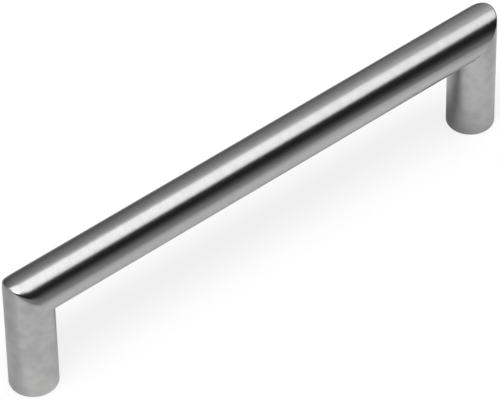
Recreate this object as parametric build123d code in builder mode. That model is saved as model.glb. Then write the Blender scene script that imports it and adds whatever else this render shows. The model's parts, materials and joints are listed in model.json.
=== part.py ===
from build123d import *
from math import radians, tan
import os

# Mitred bar pull, in millimetres. The grip runs along X and the legs stand along Z, with the feet on Z = 0
# and the origin midway between the feet.

# Round tube of the grip and the legs
tube_diameter = 14.0
tube_wall = 1.2

# Overall form
fixing_centres = 160.0
projection = 40.0
corner_round = 0.5
foot_edge_round = 0.4

# Plug in each foot, drilled and tapped for an M4 screw
insert_length = 16.0
insert_recess = 0.4
insert_clearance = 0.05
insert_lead_in = 0.8
thread_drill_diameter = 3.3
thread_drill_depth = 12.0
thread_mouth_diameter = 4.4
thread_mouth_angle = 90.0
drill_point_angle = 118.0

# Worked out from the sizes above
tube_radius = tube_diameter / 2
bore_radius = tube_radius - tube_wall
half_centres = fixing_centres / 2
overall_length = fixing_centres + tube_diameter
axis_height = projection - tube_radius
insert_radius = bore_radius - insert_clearance
drill_radius = thread_drill_diameter / 2
mouth_radius = thread_mouth_diameter / 2
drill_point_height = drill_radius / tan(radians(drill_point_angle / 2))

leg_sides = {"left": -1, "right": 1}

# Each mitre halves the corner between the grip and a leg: its plane faces up and towards the middle.
mitre_planes = {}
for side, sign in leg_sides.items():
    corner = (sign * half_centres, 0, axis_height)
    mitre_planes[side] = Plane(origin=corner, z_dir=(-sign, 0, 1))

# Outline of the whole pull from the front, with the two outer corners linished round after welding
with BuildSketch(Plane.XZ) as front_outline:
    with Locations((0, projection / 2)):
        Rectangle(overall_length, projection)
    fillet(front_outline.vertices().group_by(Axis.Y)[-1], radius=corner_round)

# Grip: one straight tube, mitred at both ends
grip_end = Plane(origin=(-overall_length / 2, 0, axis_height), x_dir=(0, 1, 0), z_dir=(1, 0, 0))
with BuildPart() as grip_bar:
    with BuildSketch(grip_end):
        Circle(tube_radius)
        Circle(bore_radius, mode=Mode.SUBTRACT)
    extrude(amount=overall_length)
    extrude(front_outline.sketch, amount=tube_diameter, both=True, mode=Mode.INTERSECT)
    for mitre in mitre_planes.values():
        split(bisect_by=mitre, keep=Keep.TOP)
grip_bar.part.label = "grip_bar"

os.makedirs("parts", exist_ok=True)
export_step(grip_bar.part, "parts/grip_bar.step")

for side, sign in leg_sides.items():
    leg_x = sign * half_centres

    # Leg: a short tube, mitred at the top and square at the foot, with the foot's outer edge eased
    with BuildPart() as leg:
        with BuildSketch(Plane(origin=(leg_x, 0, 0))):
            Circle(tube_radius)
            Circle(bore_radius, mode=Mode.SUBTRACT)
        extrude(amount=projection)
        extrude(front_outline.sketch, amount=tube_diameter, both=True, mode=Mode.INTERSECT)
        split(bisect_by=mitre_planes[side], keep=Keep.BOTTOM)
        foot_edges = leg.edges().filter_by(GeomType.CIRCLE).group_by(Axis.Z)[0]
        fillet(foot_edges.sort_by(SortBy.RADIUS)[-1], radius=foot_edge_round)
    leg.part.label = f"{side}_leg"
    export_step(leg.part, f"parts/{side}_leg.step")

    # Insert: a turned plug, set a little inside the foot so that the tube alone bears on the drawer front.
    # Its blind hole opens downwards, with a countersunk mouth and the cone that the drill leaves.
    with BuildPart() as insert:
        with BuildSketch(Plane(origin=(leg_x, 0, insert_recess))):
            Circle(insert_radius)
        extrude(amount=insert_length)
        chamfer(insert.edges().group_by(Axis.Z)[-1], length=insert_lead_in)
        insert_face = insert.faces().sort_by(Axis.Z)[0]
        with Locations(Plane(insert_face.center(), z_dir=insert_face.normal_at())):
            CounterSinkHole(
                radius=drill_radius,
                counter_sink_radius=mouth_radius,
                depth=thread_drill_depth,
                counter_sink_angle=thread_mouth_angle,
            )
        drill_end = Plane(origin=(leg_x, 0, insert_recess + thread_drill_depth))
        with Locations(drill_end):
            Cone(
                bottom_radius=drill_radius,
                top_radius=0,
                height=drill_point_height,
                align=(Align.CENTER, Align.CENTER, Align.MIN),
                mode=Mode.SUBTRACT,
            )
    insert.part.label = f"{side}_screw_insert"
    export_step(insert.part, f"parts/{side}_screw_insert.step")
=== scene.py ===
import json
from math import acos, cos, pi, radians, sin, tan

import bmesh
import bpy
from mathutils import Matrix, Quaternion, Vector


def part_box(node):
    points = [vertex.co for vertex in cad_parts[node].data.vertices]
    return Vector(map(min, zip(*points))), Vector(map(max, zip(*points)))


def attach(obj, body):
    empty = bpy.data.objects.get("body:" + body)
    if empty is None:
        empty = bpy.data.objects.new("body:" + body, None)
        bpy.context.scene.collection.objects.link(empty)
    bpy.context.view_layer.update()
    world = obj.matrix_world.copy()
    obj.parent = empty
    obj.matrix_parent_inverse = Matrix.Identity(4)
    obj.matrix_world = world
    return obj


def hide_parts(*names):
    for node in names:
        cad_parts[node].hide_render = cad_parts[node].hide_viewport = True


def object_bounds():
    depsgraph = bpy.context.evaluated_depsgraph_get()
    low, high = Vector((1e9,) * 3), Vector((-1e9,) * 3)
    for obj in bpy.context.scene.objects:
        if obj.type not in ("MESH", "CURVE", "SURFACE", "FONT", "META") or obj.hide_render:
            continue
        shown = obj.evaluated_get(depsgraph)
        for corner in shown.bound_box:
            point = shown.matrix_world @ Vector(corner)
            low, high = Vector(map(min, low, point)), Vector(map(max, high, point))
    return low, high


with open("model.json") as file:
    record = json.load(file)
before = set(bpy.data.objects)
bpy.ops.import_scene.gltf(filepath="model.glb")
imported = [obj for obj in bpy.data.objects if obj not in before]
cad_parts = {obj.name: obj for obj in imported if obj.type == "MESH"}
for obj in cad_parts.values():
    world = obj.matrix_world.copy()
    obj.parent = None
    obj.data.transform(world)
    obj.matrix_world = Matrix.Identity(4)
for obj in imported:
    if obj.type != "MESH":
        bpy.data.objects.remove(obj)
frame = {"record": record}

cad_low, cad_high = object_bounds()

# Sizes of the pull, in metres, read from the frame
leg_low, leg_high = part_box("left_leg")
grip_low, grip_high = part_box("grip_bar")
insert_low, insert_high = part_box("left_screw_insert")
tube_radius = (leg_high.y - leg_low.y) / 2
half_centres = -(leg_low.x + leg_high.x) / 2
axis_height = (grip_low.z + grip_high.z) / 2
insert_radius = (insert_high.y - insert_low.y) / 2
insert_length = insert_high.z - insert_low.z
mounts = {mount["name"]: mount for mount in frame["record"]["mounts"]}
drill_radius = mounts["left_screw_hole"]["dims"]["r_mm"] / 1000

# Sizes that the frame doesn't give, in metres
tube_wall = 0.0012
bore_radius = tube_radius - tube_wall
foot_edge_round = 0.0004

# Each mitre is welded and dressed by hand: the outer edge is eased over a few millimetres, more at the left
# corner than at the right, and left with a round that grows from the tip towards the sides
mitre_tip_round = 0.0003
mitre_side_round = {"left": 0.003, "right": 0.001}
mitre_easing_width = 0.0028
mitre_easing_drop = {"left": 0.00026, "right": 0.00004}
weld_fillet = 0.0005

# Screw insert and its M4 thread, in metres, with the thread's flats as parts of the pitch
insert_lead_in = 0.0008
insert_edge_break = 0.00015
thread_pitch = 0.0007
thread_root_flat = 0.125
thread_crest_flat = 0.25
thread_root_radius = 0.002
thread_mouth_radius = 0.0022
thread_depth = 0.011
drill_depth = 0.012
drill_point_angle = radians(118)

# Radius of the tiny caps that close an insert's skin, at the middle of its top and at the drill's point
cap_radius = drill_radius / 100

# Fineness of the meshes
steps_around = 160
steps_per_round = 6
steps_per_easing = 10
steps_along_grip = 40
steps_along_leg = 12
thread_steps_around = 64
thread_step = 0.00005
touch_attempts = 5
same_point = 0.0000001
sharp_from = radians(35)

# Share of the handling marks in the tone of the steel
grip_mottle = 0.08
leg_mottle = 0.3

# Ends of a mask that comes or goes over a span
fade_in = (0, 1)
fade_out = (1, 0)


# Shapes

def tube_point(axial, angle, radius):
    """A point on a tube along local X, with the angle counted from the outside of the bend."""
    return Vector((axial, radius * sin(angle), radius * cos(angle)))


def angles_around(count):
    return [2 * pi * index / count for index in range(count)]


def mitre_section(angle, side_round, easing_drop):
    """The dressed end of the tube at one angle, from the middle of the weld to the plain tube.

    The tube lies along local X with the mitre at the origin, so its longest line, at angle zero, reaches
    to x = -radius. The outer half of the joint is eased and rounded, and the inner half has a weld fillet.
    Both are the path of a ball that touches the two tubes, so its centre lies in the mitre.
    """
    drop = easing_drop * max(0, cos(angle))
    ball = mitre_tip_round + (side_round - mitre_tip_round) * sin(angle) ** 2
    if cos(angle) < 0:
        ball = -weld_fillet
    end = -(tube_radius - drop) * cos(angle)
    # The point of touch moves along the tube until the ball's centre lies in the mitre.
    touch = 0
    for attempt in range(touch_attempts):
        part_eased = 1 - touch / mitre_easing_width
        slope = -2 * drop / mitre_easing_width * part_eased
        own_normal = Vector((slope, sin(angle), cos(angle))).normalized()
        centre = tube_point(end + touch, angle, tube_radius - drop * part_eased ** 2) - own_normal * ball
        touch -= centre.x + centre.z
    other_normal = Vector((-own_normal.z, own_normal.y, -own_normal.x))
    turn = acos(min(1, own_normal.dot(other_normal)))
    across = (other_normal - own_normal * own_normal.dot(other_normal)).normalized()
    section = []
    for step in range(steps_per_round + 1):
        part_turn = turn / 2 * (1 - step / steps_per_round)
        section.append(centre + (own_normal * cos(part_turn) + across * sin(part_turn)) * ball)
    for step in range(1, steps_per_easing + 1):
        away = touch + (mitre_easing_width - touch) * step / steps_per_easing
        radius = tube_radius - drop * (1 - away / mitre_easing_width) ** 2
        section.append(tube_point(end + away, angle, radius))
    # One more ring, on the plain tube, keeps the shading of its long faces off the dressed end.
    guard = section[-1] + Vector((mitre_easing_width / steps_per_easing, 0, 0))
    return section + [guard]


def mitre_rings(side):
    side_round = mitre_side_round[side]
    easing_drop = mitre_easing_drop[side]
    sections = [mitre_section(angle, side_round, easing_drop) for angle in angles_around(steps_around)]
    return [list(ring) for ring in zip(*sections)]


def plain_ring(axial, radius, count=steps_around):
    return [tube_point(axial, angle, radius) for angle in angles_around(count)]


def mitred_bore_ring():
    angles = angles_around(steps_around)
    return [tube_point(-bore_radius * cos(angle), angle, bore_radius) for angle in angles]


def rings_between(first, last, count):
    """Rings spaced evenly between two rings, without the two themselves."""
    return [[a.lerp(b, step / count) for a, b in zip(first, last)] for step in range(1, count)]


def rounded_edge_rings(end, radius, edge_round):
    """Rings round the outer edge of a square end that faces along +X."""
    rings = []
    for step in range(steps_per_round + 1):
        turn = pi / 2 * step / steps_per_round
        axial = end - edge_round * (1 - sin(turn))
        rings.append(plain_ring(axial, radius - edge_round * (1 - cos(turn))))
    return rings


def placed(rings, placing):
    return [[placing @ point for point in ring] for ring in rings]


def skin(name, rings, ends_meet):
    """A closed skin over rings of equal count. Its ends meet, as in a tube with a bore, or are capped."""
    around = len(rings[0])
    points = [point for ring in rings for point in ring]
    last_row = len(rings) if ends_meet else len(rings) - 1
    faces = []
    for row in range(last_row):
        here = row * around
        there = (row + 1) % len(rings) * around
        for index in range(around):
            after = (index + 1) % around
            faces.append((here + index, here + after, there + after, there + index))
    if not ends_meet:
        faces.append(tuple(range(around)))
        faces.append(tuple(range(last_row * around, (last_row + 1) * around)))
    mesh = bpy.data.meshes.new(name)
    mesh.from_pydata(points, [], faces)
    whole = bmesh.new()
    whole.from_mesh(mesh)
    bmesh.ops.remove_doubles(whole, verts=whole.verts, dist=same_point)
    bmesh.ops.recalc_face_normals(whole, faces=whole.faces)
    whole.to_mesh(mesh)
    whole.free()
    mesh.shade_smooth()
    mesh.set_sharp_from_angle(angle=sharp_from)
    piece = bpy.data.objects.new(name, mesh)
    bpy.context.scene.collection.objects.link(piece)
    return piece


def grip_tube():
    to_left = Matrix.Translation((-half_centres, 0, axis_height))
    to_right = Matrix.Translation((half_centres, 0, axis_height)) @ Matrix.Scale(-1, 4, (1, 0, 0))
    left = placed(mitre_rings("left"), to_left)
    right = placed(mitre_rings("right"), to_right)[::-1]
    rings = left + rings_between(left[-1], right[0], steps_along_grip) + right
    rings += placed([mitred_bore_ring()], to_right) + placed([mitred_bore_ring()], to_left)
    return skin("grip_bar_tube", rings, ends_meet=True)


def leg_tube(side, sign):
    # Local X runs down the leg, and local Z points away from the middle of the pull.
    placing = Matrix(((0, 0, sign, sign * half_centres),
                      (0, 1, 0, 0),
                      (-1, 0, 0, axis_height),
                      (0, 0, 0, 1)))
    top = mitre_rings(side)
    foot = rounded_edge_rings(axis_height, tube_radius, foot_edge_round)
    rings = top + rings_between(top[-1], foot[0], steps_along_leg) + foot
    rings += [plain_ring(axis_height, bore_radius), mitred_bore_ring()]
    return skin(f"{side}_leg_tube", placed(rings, placing), ends_meet=True)


def thread_radius(depth, angle):
    """Radius of the tapped hole at a depth below the insert's face."""
    mouth = thread_mouth_radius - depth
    turns = depth / thread_pitch - angle / (2 * pi)
    from_root = abs(turns % 1 - 0.5) * 2
    flank = 1 - thread_crest_flat - thread_root_flat
    cut = min(1, max(0, (1 - thread_crest_flat - from_root) / flank))
    runout = min(1, max(0, (thread_depth - depth) / thread_pitch))
    return max(mouth, drill_radius + (thread_root_radius - drill_radius) * cut * runout)


def screw_insert(side, sign):
    # Local X runs up from the insert's lower face, into the leg.
    placing = Matrix(((0, 0, -sign, sign * half_centres),
                      (0, 1, 0, 0),
                      (1, 0, 0, insert_low.z),
                      (0, 0, 0, 1)))
    drill_point = drill_depth + drill_radius / tan(drill_point_angle / 2)
    outside = [(insert_length, cap_radius),
               (insert_length, insert_radius - insert_lead_in),
               (insert_length - insert_lead_in, insert_radius),
               (insert_edge_break, insert_radius),
               (0, insert_radius - insert_edge_break)]
    rings = [plain_ring(axial, radius, thread_steps_around) for axial, radius in outside]
    for step in range(round(thread_depth / thread_step) + 1):
        depth = step * thread_step
        rings.append([tube_point(depth, angle, thread_radius(depth, angle))
                      for angle in angles_around(thread_steps_around)])
    rings.append(plain_ring(drill_depth, drill_radius, thread_steps_around))
    rings.append(plain_ring(drill_point, cap_radius, thread_steps_around))
    return skin(f"{side}_insert_tapped", placed(rings, placing), ends_meet=False)


# Nodes that the effects, the materials and the room are made of

def math_node(tree, operation, *values):
    """A math node whose inputs are numbers or outputs of other nodes."""
    node = tree.nodes.new("ShaderNodeMath")
    node.operation = operation
    for socket, value in zip(node.inputs, values):
        if isinstance(value, (int, float)):
            socket.default_value = value
        else:
            tree.links.new(value, socket)
    return node.outputs["Value"]


def product(tree, *factors):
    """Several numbers or outputs of nodes, multiplied together."""
    whole = factors[0]
    for factor in factors[1:]:
        whole = math_node(tree, "MULTIPLY", whole, factor)
    return whole


def vector_node(tree, operation, *values):
    """A vector math node whose inputs are vectors, numbers or outputs of other nodes."""
    node = tree.nodes.new("ShaderNodeVectorMath")
    node.operation = operation
    sockets = [node.inputs[0], node.inputs["Scale"]] if operation == "SCALE" else node.inputs
    for socket, value in zip(sockets, values):
        if isinstance(value, bpy.types.NodeSocket):
            tree.links.new(value, socket)
        else:
            socket.default_value = value
    return node.outputs["Value"] if operation == "LENGTH" else node.outputs["Vector"]


def span_node(tree, value, given, onto, smooth=False):
    """Maps a value from one span onto another, held at both ends. A span is a pair of numbers."""
    node = tree.nodes.new("ShaderNodeMapRange")
    node.interpolation_type = "SMOOTHSTEP" if smooth else "LINEAR"
    sockets = ("From Min", "From Max", "To Min", "To Max")
    for socket, number in zip(sockets, (*given, *onto)):
        node.inputs[socket].default_value = number
    tree.links.new(value, node.inputs["Value"])
    return node.outputs["Result"]


def noise_node(tree, place, scale, detail, roughness):
    node = tree.nodes.new("ShaderNodeTexNoise")
    node.inputs["Detail"].default_value = detail
    node.inputs["Roughness"].default_value = roughness
    if isinstance(scale, (int, float)):
        node.inputs["Scale"].default_value = scale
    else:
        tree.links.new(scale, node.inputs["Scale"])
    tree.links.new(place, node.inputs["Vector"])
    return node.outputs["Fac"]


def split_place(tree, place):
    """The outputs X, Y and Z of a place or a direction."""
    node = tree.nodes.new("ShaderNodeSeparateXYZ")
    tree.links.new(place, node.inputs[0])
    return node.outputs


# Surface effects that several materials share

def effect(name, inputs, outputs):
    """An empty shader node group with the named inputs and number outputs."""
    group = bpy.data.node_groups.new(name, "ShaderNodeTree")
    for socket, (kind, value) in inputs.items():
        group.interface.new_socket(socket, in_out="INPUT", socket_type=kind).default_value = value
    for socket in outputs:
        group.interface.new_socket(socket, in_out="OUTPUT", socket_type="NodeSocketFloat")
    return group, group.nodes.new("NodeGroupInput"), group.nodes.new("NodeGroupOutput")


def brushed_grain():
    """Fine marks that run round the tube, as a grinding belt leaves them on a turning bar."""
    group, given, result = effect("brushed grain", {
        "Tube axis": ("NodeSocketVector", (1, 0, 0)),
        "Marks per metre": ("NodeSocketFloat", 10000),
        "Streaks per metre": ("NodeSocketFloat", 300),
    }, ["Grain"])
    place = group.nodes.new("ShaderNodeTexCoord").outputs["Object"]
    along = vector_node(group, "SCALE", given.outputs["Tube axis"], given.outputs["Marks per metre"])
    aside = vector_node(group, "SUBTRACT", (1, 1, 1), given.outputs["Tube axis"])
    around = vector_node(group, "SCALE", aside, given.outputs["Streaks per metre"])
    stretched = vector_node(group, "MULTIPLY", place, vector_node(group, "ADD", along, around))
    grain = noise_node(group, stretched, scale=1, detail=2, roughness=0.5)
    group.links.new(grain, result.inputs["Grain"])
    return group


def handling_marks():
    """Soft patches where hands and the polishing wheel have dulled or brightened the metal."""
    group, given, result = effect("handling marks", {
        "Patches per metre": ("NodeSocketFloat", 200),
    }, ["Marks"])
    patch_edge = (0.36, 0.64)
    place = group.nodes.new("ShaderNodeTexCoord").outputs["Object"]
    cloud = noise_node(group, place, scale=given.outputs["Patches per metre"], detail=4, roughness=0.55)
    marks = span_node(group, cloud, patch_edge, fade_in, smooth=True)
    group.links.new(marks, result.inputs["Marks"])
    return group


def mitre_dressing():
    """The zone beside each mitre that was dressed after welding, and the hairline of the weld itself."""
    group, given, result = effect("mitre dressing", {
        "Half centres": ("NodeSocketFloat", half_centres),
        "Axis height": ("NodeSocketFloat", axis_height),
    }, ["Dressed", "Weld line"])
    zone_width = 0.0035
    zone_edge = (zone_width * 0.5, zone_width * 1.5)
    frays_per_metre = 900
    line_edge = (0, 0.00012)
    place = group.nodes.new("ShaderNodeTexCoord").outputs["Object"]
    spot = split_place(group, place)
    off_middle = math_node(group, "ABSOLUTE", spot["X"])
    inward = math_node(group, "SUBTRACT", given.outputs["Half centres"], off_middle)
    upward = math_node(group, "SUBTRACT", spot["Z"], given.outputs["Axis height"])
    off_mitre = math_node(group, "ABSOLUTE", math_node(group, "ADD", inward, upward))
    fray = noise_node(group, place, scale=frays_per_metre, detail=2, roughness=0.5)
    ragged = math_node(group, "MULTIPLY_ADD", fray, zone_width, off_mitre)
    dressed = span_node(group, ragged, zone_edge, fade_out, smooth=True)
    weld_line = span_node(group, off_mitre, line_edge, fade_out, smooth=True)
    group.links.new(dressed, result.inputs["Dressed"])
    group.links.new(weld_line, result.inputs["Weld line"])
    return group


def placed_effect(tree, group, **values):
    """Puts a shared effect into a material, with the material's own values."""
    node = tree.nodes.new("ShaderNodeGroup")
    node.node_tree = group
    for socket, value in values.items():
        node.inputs[socket.replace("_", " ").capitalize()].default_value = value
    return node


# Materials

def empty_material(name):
    material = bpy.data.materials.new(name)
    material.use_nodes = True
    return material, material.node_tree, material.node_tree.nodes["Principled BSDF"]


def mixed_colour(tree, share, first, second):
    node = tree.nodes.new("ShaderNodeMix")
    node.data_type = "RGBA"
    node.inputs["A"].default_value = (*first, 1)
    node.inputs["B"].default_value = (*second, 1)
    tree.links.new(share, node.inputs["Factor"])
    return next(socket for socket in node.outputs if socket.type == "RGBA")


def bumped(tree, shader, height, depth):
    node = tree.nodes.new("ShaderNodeBump")
    node.inputs["Distance"].default_value = depth
    tree.links.new(height, node.inputs["Height"])
    tree.links.new(node.outputs["Normal"], shader.inputs["Normal"])


def satin_steel(name, axis, mottle, grain, marks, dressing):
    """Stainless tube with a satin finish ground round the bar, so highlights spread along it."""
    dark_steel = (0.425, 0.425, 0.422)
    bright_steel = (0.52, 0.52, 0.517)

    # What the fine grain, its broader lay and the weld line add to the tone, and the tones of dark and bright
    fine_tone = 0.5
    lay_tone = 0.25
    weld_tone = -0.25
    tone_span = (0.15 - mottle / 2, 0.65 - mottle / 2)

    # Roughness stays below 0.27 all over: where steel crosses that, a render's noise filter draws ticks
    lay_span = (0.3, 0.7)
    lay_roughness = (0.234, 0.254)
    mottle_roughness = mottle / 18
    dressed_roughness = -0.02

    # Depth of the fine grain, in metres, and the heights of the lay and the weld line as parts of it
    grain_depth = 0.00000035
    lay_height = 0.12
    weld_height = -1.5

    material, tree, shader = empty_material(name)
    shader.inputs["Metallic"].default_value = 1
    shader.inputs["Anisotropic"].default_value = 0.55
    shader.inputs["Anisotropic Rotation"].default_value = 0.25
    lie = tree.nodes.new("ShaderNodeTangent")
    lie.direction_type = "RADIAL"
    lie.axis = "X" if axis[0] else "Z"
    tree.links.new(lie.outputs["Tangent"], shader.inputs["Tangent"])

    fine_grain = placed_effect(tree, grain, tube_axis=axis, marks_per_metre=14000, streaks_per_metre=320)
    broad_grain = placed_effect(tree, grain, tube_axis=axis, marks_per_metre=1700, streaks_per_metre=70)
    fine = fine_grain.outputs["Grain"]
    lay = broad_grain.outputs["Grain"]
    patches = placed_effect(tree, marks, patches_per_metre=260).outputs["Marks"]
    mitre = placed_effect(tree, dressing)

    tone = math_node(tree, "MULTIPLY_ADD", fine, fine_tone, math_node(tree, "MULTIPLY", lay, lay_tone))
    tone = math_node(tree, "MULTIPLY_ADD", patches, -mottle, tone)
    tone = math_node(tree, "MULTIPLY_ADD", mitre.outputs["Weld line"], weld_tone, tone)
    brightness = span_node(tree, tone, tone_span, fade_in)
    colour = mixed_colour(tree, brightness, dark_steel, bright_steel)
    tree.links.new(colour, shader.inputs["Base Color"])

    rough = span_node(tree, lay, lay_span, lay_roughness)
    rough = math_node(tree, "MULTIPLY_ADD", patches, mottle_roughness, rough)
    rough = math_node(tree, "MULTIPLY_ADD", mitre.outputs["Dressed"], dressed_roughness, rough)
    tree.links.new(rough, shader.inputs["Roughness"])

    height = math_node(tree, "MULTIPLY_ADD", lay, lay_height, fine)
    height = math_node(tree, "MULTIPLY_ADD", mitre.outputs["Weld line"], weld_height, height)
    bumped(tree, shader, height, grain_depth)
    return material


def turned_steel(name, marks):
    """Free-cutting steel as it comes off the lathe, with the tool's rings about the screw's axis."""
    dark_steel = (0.36, 0.36, 0.355)
    bright_steel = (0.5, 0.5, 0.49)
    rings_per_metre = 9000
    ring_depth = 0.000004
    ring_span = (0.3, 0.7)
    ring_roughness = (0.29, 0.37)
    patch_tone = -0.2
    patch_roughness = 0.06
    tone_span = (0.1, 0.7)

    material, tree, shader = empty_material(name)
    shader.inputs["Metallic"].default_value = 1
    place = tree.nodes.new("ShaderNodeTexCoord").outputs["Object"]
    spot = split_place(tree, place)
    aside = math_node(tree, "SUBTRACT", math_node(tree, "ABSOLUTE", spot["X"]), half_centres)
    aside_square = math_node(tree, "POWER", aside, 2)
    across_square = math_node(tree, "POWER", spot["Y"], 2)
    out = math_node(tree, "SQRT", math_node(tree, "ADD", aside_square, across_square))
    joined = tree.nodes.new("ShaderNodeCombineXYZ")
    tree.links.new(out, joined.inputs["X"])
    tree.links.new(spot["Z"], joined.inputs["Y"])
    rings = noise_node(tree, joined.outputs["Vector"], scale=rings_per_metre, detail=2, roughness=0.5)
    patches = placed_effect(tree, marks, patches_per_metre=500).outputs["Marks"]

    tone = math_node(tree, "MULTIPLY_ADD", patches, patch_tone, rings)
    brightness = span_node(tree, tone, tone_span, fade_in)
    colour = mixed_colour(tree, brightness, dark_steel, bright_steel)
    tree.links.new(colour, shader.inputs["Base Color"])

    rough = span_node(tree, rings, ring_span, ring_roughness)
    rough = math_node(tree, "MULTIPLY_ADD", patches, patch_roughness, rough)
    tree.links.new(rough, shader.inputs["Roughness"])
    bumped(tree, shader, rings, ring_depth)
    return material


# Stage, light and camera

def floor_patch(tree, spot, change, left=None, right=None, front=None, rear=None):
    """A factor for the floor's tone, which is 1 with a change inside one patch: painted shade where the
    change is below zero, painted light where it is above.

    Each side of the patch is the stretch, in metres along or across the pull, over which it fades.
    """
    sides = ((spot["X"], left, fade_in), (spot["X"], right, fade_out),
             (spot["Y"], front, fade_in), (spot["Y"], rear, fade_out))
    fades = [span_node(tree, value, stretch, fade) for value, stretch, fade in sides if stretch]
    return math_node(tree, "MULTIPLY_ADD", product(tree, *fades), change, 1)


def reflected_floor(tree, place):
    """Tone of the floor as the steel reflects it: a painted pool of light, with patches of painted shadow and
    painted light.
    """
    # The painted pool of light: how it stretches, where it fades, and its tones near and far
    pool_stretch = (0.3, 1, 1)
    pool_edge = (0.03, 0.12)
    pool_tones = (0.75, 0.24)
    # Painted contact shadow round the right foot, and a painted ring of light just beyond it
    foot_shade = 0.86
    foot_halo = 1.07
    foot_shade_edge = (0.008, 0.028)
    foot_halo_edge = (0.03, 0.06)

    # Painted pool of light, brightest near the pull and dimmer further away
    off_pull = vector_node(tree, "LENGTH", vector_node(tree, "MULTIPLY", place, pool_stretch))
    pool = span_node(tree, off_pull, pool_edge, pool_tones, smooth=True)
    # Painted contact shadow round the right foot, then a painted ring of light
    off_right_foot = vector_node(tree, "LENGTH", vector_node(tree, "SUBTRACT", place, (half_centres, 0, 0)))
    right_foot_shade = span_node(tree, off_right_foot, foot_shade_edge, (foot_shade, foot_halo))
    right_foot_halo = span_node(tree, off_right_foot, foot_halo_edge, (1, 1 / foot_halo))

    spot = split_place(tree, place)
    # Painted shadow of the grip on the floor under its right half
    painted_grip_shadow = floor_patch(tree, spot, -0.55, left=(-0.06, 0.04), right=(0.078, 0.09),
                             front=(-0.009, 0.004), rear=(0.007, 0.025))
    # Painted light on the floor in front of the left foot
    painted_light_left_foot_front = floor_patch(tree, spot, 0.25, left=(-0.102, -0.09), right=(-0.08, -0.07),
                                  front=(-0.016, -0.009), rear=(-0.008, -0.002))
    # Painted shade on the floor behind and left of the left foot
    painted_shade_left_foot_rear = floor_patch(tree, spot, -0.19, right=(-0.086, -0.08), front=(-0.006, 0.001))
    # Painted light on the floor in front and to the right of the pull
    painted_light_right_front = floor_patch(tree, spot, 0.8, left=(0.04, 0.1), right=(0.105, 0.135),
                              front=(-0.2, -0.09), rear=(-0.085, -0.05))
    # Painted shade over the floor behind the pull
    painted_shade_rear_half = floor_patch(tree, spot, -0.15, front=(0, 0.02))
    # Painted shade on the floor far behind the pull
    painted_shade_far_rear = floor_patch(tree, spot, -0.4, right=(0.06, 0.15), front=(0.04, 0.14))
    # Painted shade on the floor to the right of the right foot
    painted_shade_far_right = floor_patch(tree, spot, -0.25, left=(0.085, 0.12))
    return product(tree, pool, right_foot_shade, right_foot_halo, painted_grip_shadow, painted_light_left_foot_front,
                   painted_shade_left_foot_rear, painted_light_right_front, painted_shade_rear_half, painted_shade_far_rear, painted_shade_far_right)


def pale_floor():
    """A pale floor that the camera sees evenly lit, and that the steel reflects with a painted pool of light
    and painted shadows.
    """
    half_width = 3.0
    seen_tone = 0.3
    seen_glow = 0.71
    reflected_glow = 0.05
    paper_span = (0.2, 0.8)
    paper_tones = (seen_tone * 0.97, seen_tone * 1.03)
    material, tree, seen = empty_material("pale floor")
    place = tree.nodes.new("ShaderNodeNewGeometry").outputs["Position"]
    reflected = tree.nodes.new("ShaderNodeBsdfPrincipled")
    for shader, glow in ((seen, seen_glow), (reflected, reflected_glow)):
        shader.inputs["Roughness"].default_value = 0.9
        shader.inputs["Specular IOR Level"].default_value = 0.1
        shader.inputs["Emission Color"].default_value = (1, 1, 1, 1)
        shader.inputs["Emission Strength"].default_value = glow
    paper = noise_node(tree, place, scale=700, detail=3, roughness=0.5)
    tree.links.new(span_node(tree, paper, paper_span, paper_tones), seen.inputs["Base Color"])
    # The floor the steel reflects has a painted pool of light and painted shadows in its colour
    tree.links.new(reflected_floor(tree, place), reflected.inputs["Base Color"])
    pick = tree.nodes.new("ShaderNodeMixShader")
    tree.links.new(tree.nodes.new("ShaderNodeLightPath").outputs["Is Camera Ray"], pick.inputs["Fac"])
    tree.links.new(reflected.outputs["BSDF"], pick.inputs[1])
    tree.links.new(seen.outputs["BSDF"], pick.inputs[2])
    tree.links.new(pick.outputs["Shader"], tree.nodes["Material Output"].inputs["Surface"])

    corners = [(half_width * x, half_width * y, 0) for x, y in ((-1, -1), (1, -1), (1, 1), (-1, 1))]
    mesh = bpy.data.meshes.new("floor")
    mesh.from_pydata(corners, [], [(0, 1, 2, 3)])
    mesh.materials.append(material)
    floor = bpy.data.objects.new("floor", mesh)
    bpy.context.scene.collection.objects.link(floor)


def area_light(name, place, aim, size, radiance, turn=0):
    light = bpy.data.lights.new(name, "AREA")
    light.shape = "ELLIPSE"
    light.size, light.size_y = size
    light.energy = radiance * pi * (pi / 4 * light.size * light.size_y)
    stand = bpy.data.objects.new(name, light)
    stand.location = place
    aimed = (Vector(place) - Vector(aim)).to_track_quat("Z", "Y")
    stand.rotation_euler = (aimed @ Quaternion((0, 0, 1), turn)).to_euler()
    stand.visible_camera = False
    bpy.context.scene.collection.objects.link(stand)


def studio_lights():
    """Two softboxes that face straight down, and a key light from the front left."""
    height = 1.0
    softbox_radiance = 1.83
    area_light("softbox", place=(0.47, -0.18, height), aim=(0.47, -0.18, 0), size=(0.76, 1.04),
               radiance=softbox_radiance, turn=radians(25))
    area_light("top light", place=(0.08, 0.21, height), aim=(0.08, 0.21, 0), size=(0.5, 0.42),
               radiance=softbox_radiance)
    area_light("key light", place=(-0.28, -0.26, height), aim=(0, 0, 0), size=(0.6, 0.6), radiance=7.7)


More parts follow.
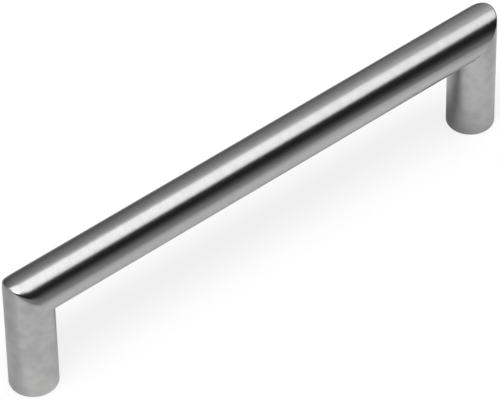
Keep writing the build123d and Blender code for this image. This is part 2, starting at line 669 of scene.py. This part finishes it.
def studio_room():
    """A room that is dark in front, with pale walls behind and to the left and some haze at the horizon."""
    # Tones of the room from the dark front, at 0, to the wall behind, at 1
    room_tones = ((0.0, 0.01), (0.36, 0.008), (0.5, 0.05), (0.61, 0.24), (0.67, 0.54),
                  (0.7, 0.63), (0.76, 0.48), (0.84, 0.36), (0.9, 0.29), (1.0, 0.11))
    whole_room = (-1, 1)
    background_tone = 0.85

    # Each part of the room comes or goes as a direction turns to the right (turn), goes back (reach, front,
    # rear) or climbs (rise). The pairs for glow, gain and tone are its strength at both ends of such a span.
    rear_turn = (0.4, 0.51)
    rear_gain = (0.73, 1.38)
    haze_rise = (0, 0.35)
    haze_glow = (0.12, 0)
    haze_turn = (0.38, 0.55)
    haze_gain = (2, 0.1)
    haze_reach = (-0.2, 0.2)
    front_turn = (0.3, 0.4)
    front_glow = (0.3, 0)
    front_reach = (-0.6, -0.2)
    front_rise = (0, 0.45)
    wall_turn = (-0.1, -0.45)
    wall_tone = (0, 0.75)
    wall_front = (-0.45, -0.05)
    wall_rear = (0.3, 0.6)

    world = bpy.data.worlds.new("studio")
    world.use_nodes = True
    tree = world.node_tree
    direction = tree.nodes.new("ShaderNodeTexCoord").outputs["Generated"]
    rightward, backward, upward = split_place(tree, direction)
    ramp = tree.nodes.new("ShaderNodeValToRGB")
    tones = ramp.color_ramp.elements
    while len(tones) < len(room_tones):
        tones.new(0.5)
    for element, (position, tone) in zip(tones, room_tones):
        element.position = position
        element.color = (tone, tone, tone, 1)
    tree.links.new(span_node(tree, backward, whole_room, fade_in), ramp.inputs["Fac"])
    rear = product(tree, ramp.outputs["Color"], span_node(tree, rightward, rear_turn, rear_gain))
    haze = product(tree,
                   span_node(tree, upward, haze_rise, haze_glow),
                   span_node(tree, rightward, haze_turn, haze_gain),
                   span_node(tree, backward, haze_reach, fade_out))
    front_haze = product(tree,
                         span_node(tree, rightward, front_turn, front_glow),
                         span_node(tree, backward, front_reach, fade_out),
                         span_node(tree, upward, front_rise, fade_out))
    wall = product(tree,
                   span_node(tree, rightward, wall_turn, wall_tone),
                   span_node(tree, backward, wall_front, fade_in),
                   span_node(tree, backward, wall_rear, fade_out))
    behind = math_node(tree, "ADD", rear, haze)
    beside = math_node(tree, "ADD", front_haze, wall)
    room = math_node(tree, "ADD", behind, beside)
    seen = tree.nodes.new("ShaderNodeLightPath").outputs["Is Camera Ray"]
    pick = tree.nodes.new("ShaderNodeMix")
    pick.inputs["B"].default_value = background_tone
    tree.links.new(seen, pick.inputs["Factor"])
    tree.links.new(room, pick.inputs["A"])
    tree.links.new(pick.outputs["Result"], tree.nodes["Background"].inputs["Strength"])
    tree.nodes["Background"].inputs["Color"].default_value = (1, 1, 1, 1)
    bpy.context.scene.world = world


def photo_camera():
    """Stands where the photograph was taken from, with its tilt, and is aimed to give its framing.

    Tones are shown as they are, without a film curve.
    """
    picture_width = 500
    picture_height = 400
    view_turn = radians(39.22)
    view_elevation = radians(43.97)
    view_tilt = radians(-1.04)
    view_distance = 1.2838
    pixels_per_metre = 3593
    middle_pixel = (257.2, 193.9)

    level_ahead = Vector((sin(view_turn), cos(view_turn), 0))
    ahead = level_ahead * cos(view_elevation) - Vector((0, 0, sin(view_elevation)))
    level_right = Vector((cos(view_turn), -sin(view_turn), 0))
    level_up = level_right.cross(ahead)
    right = level_right * cos(view_tilt) + level_up * sin(view_tilt)
    up = level_up * cos(view_tilt) - level_right * sin(view_tilt)
    focal_pixels = pixels_per_metre * view_distance
    aside = (middle_pixel[0] - picture_width / 2) / focal_pixels
    above = (picture_height / 2 - middle_pixel[1]) / focal_pixels
    middle = (cad_low + cad_high) / 2
    eye = middle - (ahead + right * aside + up * above) * view_distance

    camera = bpy.data.cameras.new("photo camera")
    camera.sensor_width = 36
    camera.lens = focal_pixels / picture_width * camera.sensor_width
    camera.clip_start = 0.01
    camera.clip_end = 20
    stand = bpy.data.objects.new("photo camera", camera)
    turn = Matrix((right, up, -ahead)).transposed().to_4x4()
    stand.matrix_world = Matrix.Translation(eye) @ turn
    bpy.context.scene.collection.objects.link(stand)
    bpy.context.scene.camera = stand
    bpy.context.scene.view_settings.view_transform = "Standard"


def fitted(piece, node, material):
    """Puts a piece in the place of a solid of the frame, with its finish."""
    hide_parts(node)
    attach(piece, "root")
    piece.data.materials.append(material)


grain = brushed_grain()
marks = handling_marks()
dressing = mitre_dressing()
grip_steel = satin_steel("satin steel grip", (1, 0, 0), grip_mottle, grain, marks, dressing)
leg_steel = satin_steel("satin steel legs", (0, 0, 1), leg_mottle, grain, marks, dressing)
insert_steel = turned_steel("turned steel", marks)

fitted(grip_tube(), "grip_bar", grip_steel)
for side, sign in (("left", -1), ("right", 1)):
    fitted(leg_tube(side, sign), f"{side}_leg", leg_steel)
    fitted(screw_insert(side, sign), f"{side}_screw_insert", insert_steel)

pale_floor()
studio_lights()
studio_room()
photo_camera()
